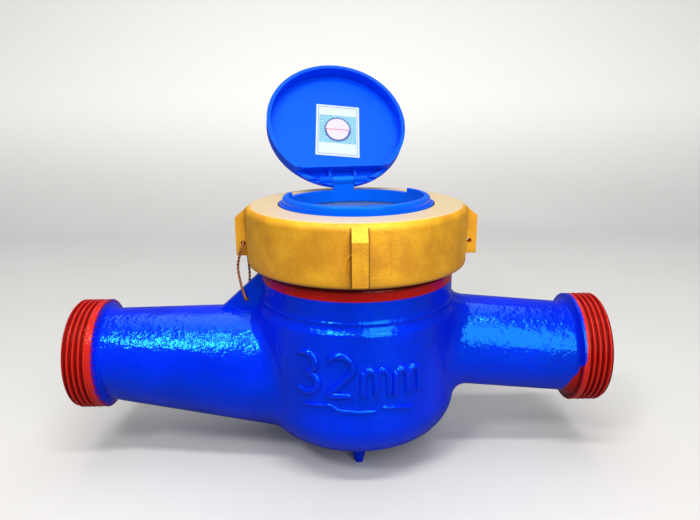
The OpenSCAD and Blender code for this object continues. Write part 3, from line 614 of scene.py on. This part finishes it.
def neck_surface():
    """Neck's thread: round the register axis the radius is a cosine of the height over the pitch less the turn,
    fading in over its lowest part, with both edges sunk in the neck."""
    low, high = NECK_THREAD
    fade_in, lift, sunk = 1.5, 0.02, 0.05
    z = np.linspace(low, high, 90)[:, None]
    turn = np.linspace(0, TAU, 145)[:-1]
    wave = 0.5 + 0.5 * np.cos(TAU * z / NECK_PITCH - turn)
    r = NECK_R + lift + NECK_RIDGE * wave * np.clip((z - low) / fade_in, 0, 1)
    r[0] = r[-1] = NECK_R - sunk
    points = np.stack([AXIS_X + r * np.cos(turn), r * np.sin(turn), z + 0 * turn], -1)
    return points, quads(len(z), len(turn), wrap_cols=True, flip=True)


def shoulder_skirt():
    """Paint-filled corner of neck and bowl: down the neck the radius grows along an eighth of a circle that meets
    the bowl's rounding, with a low rim (a bell curve of the height) where it starts."""
    top, edge = SHOULDER
    half = math.pi / 4
    big = edge * math.cos(half) / (1 - math.cos(half))
    foot = top - edge + (edge + big) * math.sin(half)
    level = np.linspace(foot + 2.6, foot - big * math.sin(half), 41)
    bend = np.clip((foot - level) / big, 0, 1)
    rim = 0.6 * np.exp(-((level - foot + 0.3) / 0.75) ** 2)
    lift = 0.05 * np.sin(math.pi * np.linspace(0, 1, len(level))) - 0.03
    r = (NECK_R + big * (1 - np.sqrt(1 - bend ** 2)) + rim + lift)[:, None]
    turn = np.linspace(0, TAU, 193)[:-1]
    points = np.stack([AXIS_X + r * np.cos(turn), r * np.sin(turn), level[:, None] + 0 * turn], -1)
    return points, quads(len(level), len(turn), wrap_cols=True)


def pipe_frame(line):
    """Start, direction, upright normal and length of a pipe's axis in the XZ plane."""
    (ax, az), (bx, bz) = line
    way = np.array([bx - ax, 0.0, bz - az])
    span = np.linalg.norm(way)
    way /= span
    up = np.array([-way[2], 0.0, way[0]]) * np.sign(way[0])
    return np.array([ax, 0.0, az]), way, up, span


def fillet_skirt(line, slope, reach):
    """Casting's fillet between a pipe and the bowl: for each angle round the pipe, the line along the pipe is
    followed to the bowl by halving, and a quadratic curve leaves the pipe before that corner and lands on the
    bowl beyond it."""
    start, way, up, span = pipe_frame(line)
    turn = np.linspace(0, TAU, 145)[:-1]
    out = np.cos(turn)[:, None] * up + np.sin(turn)[:, None] * np.array([0.0, 1.0, 0.0])

    def at(s):
        return start + s[:, None] * way + (PIPE_R + slope * s)[:, None] * out

    def outside(p):
        return np.hypot(p[:, 0] - AXIS_X, p[:, 1]) - bowl_radius(p[:, 2])

    low, high = np.zeros(len(turn)), np.full(len(turn), span + 25.0)
    for _ in range(40):
        mid = (low + high) / 2
        free = outside(at(mid)) > 0
        low, high = np.where(free, mid, low), np.where(free, high, mid)
    corner = at(low)
    radial = unit(np.stack([corner[:, 0] - AXIS_X, corner[:, 1], 0 * corner[:, 1]], -1))
    dz = 0.05
    lean = (bowl_radius(corner[:, 2] + dz) - bowl_radius(corner[:, 2] - dz)) / (2 * dz)
    normal = unit(radial - lean[:, None] * np.array([0.0, 0.0, 1.0]))
    away = unit(out - (out * normal).sum(1)[:, None] * normal)
    near = at(low - reach) - SINK * out
    far = corner + reach * away
    k = (bowl_radius(far[:, 2]) - SINK) / np.hypot(far[:, 0] - AXIS_X, far[:, 1])
    far[:, 0] = AXIS_X + (far[:, 0] - AXIS_X) * k
    far[:, 1] *= k
    t = np.linspace(0, 1, 15)[:, None, None]
    points = (1 - t) ** 2 * near + 2 * t * (1 - t) * corner + t ** 2 * far
    return points, quads(len(t), len(turn), wrap_cols=True, flip=way[0] < 0)


def arc(cx, cy, rx, ry, a0, a1, n=18):
    """Points of an elliptic arc, angles in degrees."""
    a = np.radians(np.linspace(a0, a1, n))
    return np.stack([cx + rx * np.cos(a), cy + ry * np.sin(a)], -1)


def glyph(char):
    """Pen strokes of a plain numeral or the letter m, in a box one unit high."""
    line = np.array
    return {
        "0": [arc(.3, .5, .25, .46, 90, 450, 30)],
        "1": [line([(.12, .76), (.33, .96), (.33, .04)])],
        "2": [np.vstack([arc(.3, .69, .25, .27, 165, -25), [(.06, .04), (.57, .04)]])],
        "3": [np.vstack([arc(.28, .73, .22, .23, 150, -85), arc(.28, .27, .26, .23, 85, -150)])],
        "4": [line([(.44, .04), (.44, .96), (.05, .32), (.58, .32)])],
        "5": [np.vstack([[(.52, .96), (.14, .96), (.1, .56)], arc(.28, .33, .27, .29, 130, -140)])],
        "6": [arc(.3, .3, .25, .26, 0, 360, 26), arc(.62, .32, .57, .64, 180, 108)],
        "7": [line([(.05, .96), (.56, .96), (.22, .04)])],
        "8": [arc(.3, .73, .2, .23, 90, 450, 24), arc(.3, .27, .25, .23, 90, 450, 24)],
        "9": [arc(.3, .7, .25, .26, 0, 360, 26), arc(-.02, .68, .57, .64, 0, -72)],
        "m": [line([(.06, 0), (.06, .62)]), np.vstack([arc(.27, .38, .2, .24, 180, 0, 10), [(.47, 0)]]),
              np.vstack([arc(.68, .38, .2, .24, 180, 0, 10), [(.88, 0)]])],
    }[char]


def resample(path, step):
    """The same polyline with points about one step apart."""
    gaps = np.linalg.norm(np.diff(path, axis=0), axis=1)
    along = np.concatenate([[0], np.cumsum(gaps)])
    n = max(4, int(along[-1] / step) + 1)
    s = np.linspace(0, along[-1], n)
    return np.stack([np.interp(s, along, path[:, i]) for i in range(path.shape[1])], -1)


def ribbon(path, width):
    """Flat ribbon along a plane path: the path moved half a width to either side of its direction."""
    way = unit(np.gradient(path, axis=0))
    side = np.stack([-way[:, 1], way[:, 0]], -1) * width / 2
    grid = np.stack([path - side, path, path + side], 1)
    return grid.reshape(-1, 2), quads(len(path), 3)


def ink(char, at, height, width):
    """Flat strokes of one sign with its lower corner at a place."""
    return joined([ribbon(resample(path * height + at, height / 14), width) for path in glyph(char)])


def bead(path, width, height):
    """Raised cast stroke: half an ellipse carried along a path round the axis, tapering at both ends."""
    sunk = 0.15
    way = unit(np.gradient(path, axis=0))
    up = bowl_normal(path)
    side = unit(np.cross(up, way))
    s = np.linspace(-1, 1, len(path))
    taper = np.sqrt(np.clip(1 - np.abs(s) ** 8, 0.0, 1))[:, None, None]
    a = np.linspace(0, math.pi, 11)[:, None]
    half_ellipse = np.cos(a) * side[:, None] * width / 2 + np.sin(a) * up[:, None] * height
    grid = path[:, None] + taper * half_ellipse - sunk * up[:, None]
    return grid.reshape(-1, 3), quads(len(path), len(a))


def cubic(a, b, c, d, steps):
    """Points of the Catmull-Rom cubic from b to c, where a comes before them and d after."""
    t = np.linspace(0, 1, steps, endpoint=False)[:, None]
    return 0.5 * (2 * b + (c - a) * t + (2 * a - 5 * b + 4 * c - d) * t ** 2 + (3 * b - a - 3 * c + d) * t ** 3)


def closed_curve(points, steps):
    """Smooth closed curve through the points: a cubic between each pair."""
    p = np.asarray(points, float)[:, None]
    curve = cubic(np.roll(p, 1, 0), p, np.roll(p, -1, 0), np.roll(p, -2, 0), steps)
    return curve.reshape(-1, p.shape[-1])


def open_curve(points, steps):
    """Smooth open curve through the points: a cubic between each pair, the end points' neighbours mirrored
    beyond them."""
    p = np.asarray(points, float)
    p = np.vstack([2 * p[0] - p[1], p, 2 * p[-1] - p[-2]])[:, None]
    curve = cubic(p[:-3], p[1:-2], p[2:-1], p[3:], steps)
    return np.vstack([curve.reshape(-1, p.shape[-1]), p[-2]])


def twisted_tube(path, radius):
    """Two twisted strands along a closed path: across the path at each point the radius follows the absolute
    cosine of the angle less the twist, which grows evenly along the path by a whole number of half turns."""
    way = unit(np.roll(path, -1, 0) - np.roll(path, 1, 0))
    u = unit(np.cross(way, np.array([1.0, 0.35, 0.0])))
    v = np.cross(way, u)
    a = np.linspace(0, TAU, WIRE_SIDES, endpoint=False)[:, None]
    twist = math.pi * WIRE_TWISTS * np.linspace(0, 1, len(path), endpoint=False)[:, None, None]
    r = radius * (0.70 + 0.36 * np.abs(np.cos(a - twist)))
    grid = path[:, None] + r * (np.cos(a) * u[:, None] + np.sin(a) * v[:, None])
    return grid.reshape(-1, 3), quads(len(path), WIRE_SIDES, wrap_rows=True, wrap_cols=True)


def lid_to_open(points):
    """From the shut lid's own frame to its place at rest: opened about the hinge, then turned with the cover."""
    y, z = points[:, 1] - HINGE[0], points[:, 2] - HINGE[1]
    c, s = math.cos(-LID_OPEN), math.sin(-LID_OPEN)
    q = np.stack([points[:, 0], HINGE[0] + c * y - s * z, HINGE[1] + s * y + c * z], -1)
    c, s = math.cos(COVER_TURN), math.sin(COVER_TURN)
    return np.stack([AXIS_X + c * q[:, 0] - s * q[:, 1], s * q[:, 0] + c * q[:, 1], q[:, 2]], -1)


def label_card():
    """Thin card on the lid's floor: an even grid between its corners, doubled one thickness apart and closed
    along the rim. Gives vertices, quads and map."""
    n = 17
    s = np.linspace(0, 1, n)
    u, v = np.meshgrid(s, s, indexing="ij")
    corner, along, down = np.array(LABEL)
    flat = corner + u[..., None] * along + v[..., None] * down
    top = np.concatenate([flat, np.full((n, n, 1), LABEL_Z)], -1).reshape(-1, 3)
    verts = lid_to_open(np.vstack([top, top + (0, 0, LABEL_THICK)]))
    index = np.arange(n * n).reshape(n, n)
    rim = np.concatenate([index[::-1, 0], index[0, 1:], index[1:, -1], index[-1, -2:0:-1]])
    after = np.roll(rim, -1)
    walls = np.stack([rim, after, after + n * n, rim + n * n], -1)
    face = quads(n, n)
    uv = np.stack([u.ravel(), 1 - v.ravel()], -1)
    return verts, np.vstack([face, face[:, ::-1] + n * n, walls]), np.vstack([uv, uv])


def heading(angle):
    """Plane direction at an angle in degrees."""
    return np.array([math.cos(math.radians(angle)), math.sin(math.radians(angle))])


def dial_strokes():
    """Flat strokes just over the dial: four small circles with ten marks and numbers each, two large circles,
    the rollers' frame and the unit."""
    parts = []
    for angle in POINTER_ANGLES:
        c = POINTER_RING * heading(angle)
        parts.append(ribbon(arc(*c, SMALL_CIRCLE, SMALL_CIRCLE, 0, 360, 72), 0.14))
        for k in range(10):
            d = heading(90 - 36 * k)
            parts.append(ribbon(np.linspace(c + 3.7 * d, c + SMALL_CIRCLE * d, 4), 0.26))
            parts.append(ink(str(k), c + 5.6 * d - (0.39, 0.65), 1.3, 0.2))
    for r in (27.0, 33.6):
        parts.append(ribbon(arc(0, 0, r, r, 0, 360, 144), 0.25))
    window = np.array([(-14.8, 10.3), (14.8, 10.3), (14.8, 16.7), (-14.8, 16.7), (-14.8, 10.3)])
    parts.append(ribbon(resample(window, 0.5), 0.3))
    parts.append(ink("m", (17.2, 12.0), 3.0, 0.42))
    parts.append(ink("3", (20.4, 13.6), 1.7, 0.28))
    flat, faces = joined(parts)
    return np.column_stack([AXIS_X + flat[:, 0], flat[:, 1], np.full(len(flat), DIAL_TOP + PRINT_LIFT)]), faces


def roller_digits(k):
    """Ten digits round roller k: the height along a stroke, over the roller's radius, is the angle about its
    axis."""
    r = ROLLER_R + DIGIT_LIFT
    middle = AXIS_X + ROLLER_PITCH * (2.5 - k) + 2.7
    parts = []
    for digit in range(10):
        flat, faces = ink(str(digit), (-0.78, -1.3), 2.6, 0.42)
        a = flat[:, 1] / r - TAU * digit / 10
        parts.append((np.stack([middle + flat[:, 0], ROLLER_AXIS[0] + r * np.sin(a),
                                ROLLER_AXIS[1] + r * np.cos(a)], -1), faces))
    return joined(parts)


def facing(place, way, roll=0.0):
    """World matrix of a camera or lamp at a place, looking along a direction and rolled about it."""
    way = unit(np.asarray(way, float))
    right = unit(np.cross(way, (0, 0, 1)))
    up = np.cross(right, way)
    c, s = math.cos(roll), math.sin(roll)
    axes = np.stack([c * right + s * up, c * up - s * right, -way], 1)
    return Matrix([(*row, at) for row, at in zip(axes, place)] + [(0, 0, 0, 1)])


def add_camera(scene):
    """Camera at the photograph's angle."""
    lens = bpy.data.cameras.new("camera")
    lens.sensor_fit = "HORIZONTAL"
    lens.sensor_width = SENSOR
    lens.lens = FOCAL_SHARE * SENSOR
    lens.clip_start = 0.01
    eye = bpy.data.objects.new("camera", lens)
    eye.matrix_world = facing(np.array(CAMERA_PLACE) * MM, CAMERA_WAY, CAMERA_ROLL)
    scene.collection.objects.link(eye)
    scene.camera = eye


def add_backdrop(scene):
    """Floor that bends up into a wall: a flat run, a quarter round and a rise, the same all the way across."""
    bend = np.linspace(0, math.pi / 2, 25)
    bend_y, bend_r = BACKDROP_BEND
    run = np.concatenate([[-3.0, -0.8], bend_y + bend_r * np.sin(bend), [bend_y + bend_r]])
    rise = np.concatenate([[0.0, 0.0], bend_r - bend_r * np.cos(bend), [2.5]]) + CAD_BOX[0][2]
    gx, gy = np.meshgrid(np.linspace(-3.0, 3.2, 9), run, indexing="ij")
    gz = np.broadcast_to(rise, gx.shape)
    mesh = bpy.data.meshes.new("backdrop")
    mesh.from_pydata(np.stack([gx, gy, gz], -1).reshape(-1, 3).tolist(), [], quads(*gx.shape).tolist())
    mesh.polygons.foreach_set("use_smooth", np.full(len(mesh.polygons), True))
    mesh.materials.append(floor_look())
    ground = bpy.data.objects.new("backdrop", mesh)
    scene.collection.objects.link(ground)


def add_world(scene):
    """Warm white to the camera and through glass, cool light to the rest and dimmer still to mirrored rays."""
    sky = Look("studio", bpy.data.worlds.new("studio"))
    scene.world = sky.block
    sky.tree.nodes.remove(sky.tree.nodes["Background"])

    def glow(shade, strength):
        return sky.node("ShaderNodeBackground", {}, {"Color": full(shade), "Strength": strength})

    def ray(kind):
        return sky.node("ShaderNodeLightPath", {}, {}, kind)

    seen = ray("Is Camera Ray").math("MAXIMUM", ray("Is Transmission Ray"))
    lit = sky.mix_shaders(ray("Is Glossy Ray"), glow((0.92, 0.95, 1.0), 0.5), glow((0.85, 0.92, 1.0), 0.15))
    both = sky.mix_shaders(seen, lit, glow((0.96, 0.91, 0.82), 1.0))
    sky.feed(sky.tree.nodes["World Output"].inputs[0], both)


def add_lamps(scene):
    """Rectangular lamps, all aimed at the meter."""
    for name, place, power, width, depth in LAMPS:
        light = bpy.data.lights.new(name, "AREA")
        light.energy = power
        light.shape = "RECTANGLE"
        light.size = width
        light.size_y = depth
        lamp = bpy.data.objects.new(name, light)
        lamp.matrix_world = facing(place, np.array(LAMP_AIM) - place)
        scene.collection.objects.link(lamp)


class METER_OT_stage(bpy.types.Operator):
    """Camera at the photograph's angle, pale floor and soft studio light"""

    bl_idname = "meter.stage"
    bl_label = "Stage"

    def execute(self, context):
        scene = context.scene
        scene.view_settings.view_transform = "Standard"
        add_camera(scene)
        add_backdrop(scene)
        add_world(scene)
        add_lamps(scene)
        return {"FINISHED"}


class METER_OT_body(bpy.types.Operator):
    """Painted casting with the fillets where its pipes and its neck meet the bowl"""

    bl_idname = "meter.body"
    bl_label = "Body"

    def execute(self, context):
        sizes = context.scene.meter_sizes
        paint = paint_look(context.scene.meter_colours)
        mesh = body_shell()
        mesh.materials.clear()
        mesh.materials.append(paint)
        shell = bpy.data.objects.new("body_shell", mesh)
        context.scene.collection.objects.link(shell)
        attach(shell, "meter")
        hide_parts("body_casting")
        span = pipe_frame(INLET_LINE)[3]
        lean = math.asin(INLET_ROOT_R / math.hypot(PIPE_R, span)) - math.atan2(PIPE_R, span)
        for name, (points, faces) in (
                ("inlet_fillet", fillet_skirt(INLET_LINE, math.tan(lean), sizes.inlet_fillet / MM)),
                ("outlet_fillet", fillet_skirt(OUTLET_LINE, 0.0, sizes.outlet_fillet / MM)),
                ("shoulder_fillet", shoulder_skirt())):
            piece(name, points, faces, paint, "meter")
        return {"FINISHED"}


class METER_OT_threads(bpy.types.Operator):
    """Screw ridges on both pipe ends and on the neck"""

    bl_idname = "meter.threads"
    bl_label = "Threads"

    def execute(self, context):
        sizes = context.scene.meter_sizes
        paint = bpy.data.materials["gloss_paint"]
        points, faces = thread_surface(sizes.thread_r / MM, sizes.thread_depth / MM, sizes.thread_pitch / MM,
                                       sizes.thread_len / MM)
        piece("inlet_ridges", points, faces, paint, "meter", sharp=60)
        other = points * (-1, -1, 1) + (END_X, 0, 0)
        piece("outlet_ridges", other, faces, paint, "meter", sharp=60)
        points, faces = neck_surface()
        piece("neck_ridges", points, faces, paint, "meter")
        return {"FINISHED"}


class METER_OT_size_mark(bpy.types.Operator):
    """Plain bore size and two irregular flow lines, raised on the bowl's front"""

    bl_idname = "meter.size_mark"
    bl_label = "Size mark"

    def execute(self, context):
        parts = []
        for char, turn, low, wide, high, slope in SIZE_MARK:
            for path in glyph(char):
                across, up = resample(path, 0.05).T
                z = low + up * high + slope * np.radians(across * wide) * BOWL_R
                parts.append(bead(round_axis(bowl_radius(z), turn + across * wide, z), *MARK_STROKE))
        for line in FLOW_LINES:
            turn, z = resample(np.array(line), 0.8).T
            parts.append(bead(round_axis(bowl_radius(z), turn, z), *FLOW_STROKE))
        verts, faces = joined(parts)
        piece("size_mark", verts, faces, bpy.data.materials["gloss_paint"], "meter")
        return {"FINISHED"}


class METER_OT_brass_ring(bpy.types.Operator):
    """Cast brass ring and the small marks of its casting"""

    bl_idname = "meter.brass_ring"
    bl_label = "Brass ring"

    def execute(self, context):
        brass = brass_look(context.scene.meter_colours)
        finish("brass_ring", brass)
        parts = []
        for line, stroke in CAST_MARKS:
            turn, z = resample(open_curve(line, 12), 0.35).T
            parts.append(bead(round_axis(RING_R, turn, z), *stroke))
        verts, faces = joined(parts)
        piece("ring_cast_marks", verts, faces, brass, "meter")
        return {"FINISHED"}


class METER_OT_seal_wire(bpy.types.Operator):
    """Copper seal wire through the left lug and the rib"""

    bl_idname = "meter.seal_wire"
    bl_label = "Seal wire"

    def execute(self, context):
        route = np.array(WIRE_ROUTE) * (1, 1, WIRE_RIB_Z - WIRE_LUG_Z)
        path = closed_curve(route + (AXIS_X - WIRE_REACH, 0, WIRE_LUG_Z), 32)
        verts, faces = twisted_tube(path, context.scene.meter_sizes.wire_r / MM)
        u, v = np.meshgrid(np.arange(len(path)) / len(path), np.arange(WIRE_SIDES) / WIRE_SIDES, indexing="ij")
        wire = piece("seal_wire_strand", verts, faces, wire_look(), "meter",
                     uv=np.stack([u.ravel(), v.ravel()], -1))
        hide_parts("seal_wire")
        return {"FINISHED"}


class METER_OT_cover(bpy.types.Operator):
    """Cover ring and lid, and the label inside the lid"""

    bl_idname = "meter.cover"
    bl_label = "Cover and lid"

    def execute(self, context):
        red, green, blue = context.scene.meter_colours.resin
        resin = resin_look("satin_resin", (red, green, blue), 0.30, tint=(0.01, 0.35, 1.0, 1.0))
        # Painted reflection: the collar gets the lid's resin with 1.7 times the green, a painted pale sheen
        collar_with_sheen = resin_look("collar_resin_with_sheen", (red, 1.7 * green, blue), 0.26, tint=(0.05, 0.6, 1.0, 1.0))
        finish("cover_ring", collar_with_sheen)
        finish("lid", resin)
        verts, faces, uv = label_card()
        piece("lid_label", verts, faces, label_look(), "lid", uv=uv, smooth=False)
        return {"FINISHED"}


class METER_OT_register(bpy.types.Operator):
    """Dial print, roller numerals and the finishes of the register"""

    bl_idname = "meter.register"
    bl_label = "Register"

    def execute(self, context):
        black = print_look("dial_ink", (0.012, 0.012, 0.014))
        red = resin_look("red_resin", (0.62, 0.02, 0.02), 0.25)
        verts, faces = dial_strokes()
        piece("dial_print", verts, faces, black, "meter", smooth=False)
        for k in range(1, 6):
            verts, faces = roller_digits(k)
            piece("roller_numerals_%d" % k, verts, faces, black, "roller_%d" % k, smooth=False)
        finish("dial_plate", dial_look())
        for node in ("flow_star", "pointer_1", "pointer_2", "pointer_3", "pointer_4"):
            finish(node, red)
        return {"FINISHED"}


class METER_OT_inner_works(bpy.types.Operator):
    """Glass, seals, chamber, gears and small metal parts"""

    bl_idname = "meter.inner_works"
    bl_label = "Inner works"

    def execute(self, context):
        looks = {
            "glass": glass_look(),
            "white_resin": resin_look("white_resin", (0.80, 0.80, 0.76), 0.38),
            "black_resin": resin_look("black_resin", (0.03, 0.03, 0.035), 0.42),
            "rubber": resin_look("rubber", (0.025, 0.025, 0.026), 0.6, bump=0.25),
            "turned_brass": metal_look("turned_brass", (0.78, 0.56, 0.24), 0.25),
            "steel": metal_look("steel", (0.62, 0.63, 0.65), 0.28),
        }
        for row in frame["record"]["subparts"]:
            if row["material_slot"] in looks:
                finish(row["node"], looks[row["material_slot"]])
        return {"FINISHED"}


class METER_PT_panel(bpy.types.Panel):
    """Lists the meter's sizes, colours and pieces"""

    bl_label = "Water meter"
    bl_idname = "METER_PT_panel"
    bl_space_type = "VIEW_3D"
    bl_region_type = "UI"
    bl_category = "Meter"

    def draw(self, context):
        for group in (context.scene.meter_sizes, context.scene.meter_colours):
            for name in group.__annotations__:
                self.layout.prop(group, name)
        for piece_operator in PIECES:
            self.layout.operator(piece_operator.bl_idname)


PIECES = (METER_OT_stage, METER_OT_body, METER_OT_threads, METER_OT_size_mark, METER_OT_brass_ring,
          METER_OT_seal_wire, METER_OT_cover, METER_OT_register, METER_OT_inner_works)
CLASSES = (MeterSizes, MeterColours) + PIECES + (METER_PT_panel,)


def register():
    for cls in CLASSES:
        bpy.utils.register_class(cls)
    bpy.types.Scene.meter_sizes = bpy.props.PointerProperty(type=MeterSizes)
    bpy.types.Scene.meter_colours = bpy.props.PointerProperty(type=MeterColours)


def unregister():
    del bpy.types.Scene.meter_colours
    del bpy.types.Scene.meter_sizes
    for cls in reversed(CLASSES):
        bpy.utils.unregister_class(cls)


def main():
    register()
    for piece_operator in PIECES:
        group, name = piece_operator.bl_idname.split(".")
        getattr(getattr(bpy.ops, group), name)()


if __name__ == "__main__":
    main()
